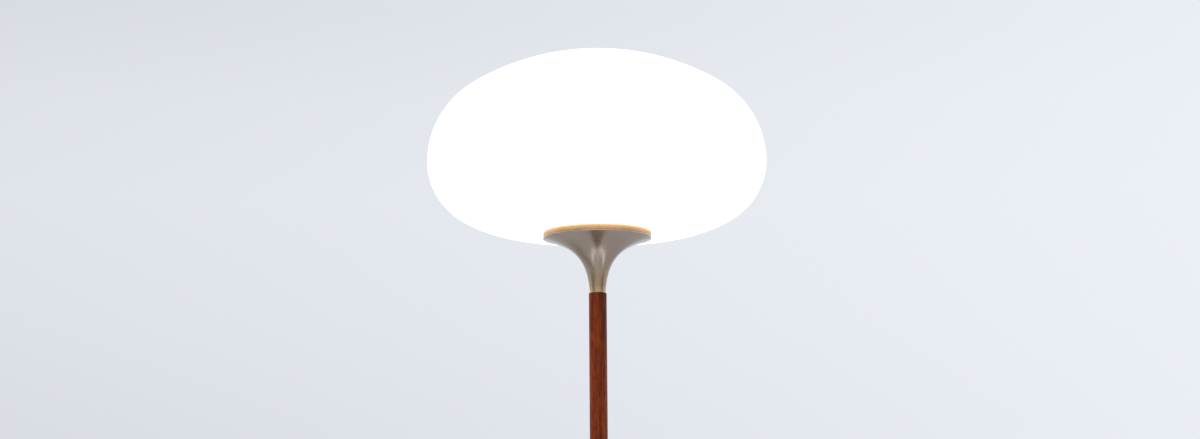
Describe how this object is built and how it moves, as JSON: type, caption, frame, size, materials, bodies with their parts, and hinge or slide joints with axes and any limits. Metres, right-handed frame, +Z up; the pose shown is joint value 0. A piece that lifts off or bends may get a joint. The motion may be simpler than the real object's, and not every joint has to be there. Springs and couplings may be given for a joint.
{
  "type": "mushroom floor lamp",
  "caption": "Floor lamp with a wide opal glass mushroom shade on a flared metal cup, a slim wooden stem and a weighted trumpet foot.",
  "frame": {"origin": "on the floor, centre of the foot's underside", "axes": "+Z up along the stem, -Y towards the front; the turn knob and the cord inlet face +Y"},
  "size_m": [0.396, 0.396, 1.3711],
  "materials": {
    "opal_glass": "opal white blown glass, satin",
    "brushed_nickel": "spun and brushed nickel plate, lacquered",
    "satin_brass": "satin brass",
    "socket_brass": "bright pressed brass",
    "oiled_wood": "turned hardwood, oiled red brown",
    "zinc_steel": "zinc plated steel",
    "cast_iron": "black painted casting",
    "felt": "dark green wool felt",
    "black_bushing": "moulded nylon",
    "gasket_rubber": "pale silicone rubber",
    "fibre": "vulcanised fibre",
    "phenolic": "moulded phenolic",
    "cap_metal": "rolled, nickel plated",
    "solder": "solder",
    "insulator_glass": "dark glass bead",
    "frosted_glass": "frosted bulb glass"
  },
  "bodies": {
    "stand": {"felt_pad": "felt", "base_plate": "zinc_steel", "plate_screws": "zinc_steel", "base_weight": "cast_iron", "base_trumpet": "brushed_nickel", "cord_bushing": "black_bushing", "foot_washer": "zinc_steel", "lock_washer": "zinc_steel", "foot_nut": "zinc_steel", "foot_spacer": "zinc_steel", "centre_pipe": "zinc_steel", "wood_stem": "oiled_wood", "top_trumpet": "brushed_nickel", "cup_bush": "socket_brass", "cup_washer": "zinc_steel", "cup_locknut": "zinc_steel", "gallery_ring": "satin_brass", "ring_rivets": "satin_brass", "shade_gasket": "gasket_rubber", "socket_cap": "socket_brass", "hub_screw": "zinc_steel", "socket_shell": "socket_brass", "socket_liner": "fibre", "socket_body": "phenolic", "terminal_screws": "socket_brass", "screw_shell": "socket_brass", "centre_contact": "socket_brass", "switch_body": "phenolic", "switch_stub": "zinc_steel", "switch_nut": "brushed_nickel"},
    "shade": {"glass_shade": "opal_glass"},
    "bulb_carrier": {"bulb_contact": "solder"},
    "bulb": {"bulb_insulator": "insulator_glass", "bulb_cap": "cap_metal", "bulb_glass": "frosted_glass"},
    "switch": {"switch_shaft": "zinc_steel", "switch_knob": "satin_brass"}
  },
  "joints": [
    {"name": "shade_lift", "type": "slide", "parent": "stand", "child": "shade", "axis": [0, 0, 1], "range_m": [0, 0.17]},
    {"name": "bulb_rise", "type": "slide", "parent": "stand", "child": "bulb_carrier", "axis": [0, 0, 1], "range_m": [0, 0.0255]},
    {"name": "bulb_turn", "type": "hinge", "parent": "bulb_carrier", "child": "bulb", "pos_m": [0, 0, 1.17], "axis": [0, 0, 1], "range_deg": [0, 2520]},
    {"name": "switch_turn", "type": "hinge", "parent": "stand", "child": "switch", "pos_m": [0, 0.04, 1.14346], "axis": [0, 0.4495, -0.8933], "continuous": true}
  ],
  "couplings": [
    {"joint": "bulb_rise", "follows": "bulb_turn", "m_per_rad": 0.00057757}
  ]
}
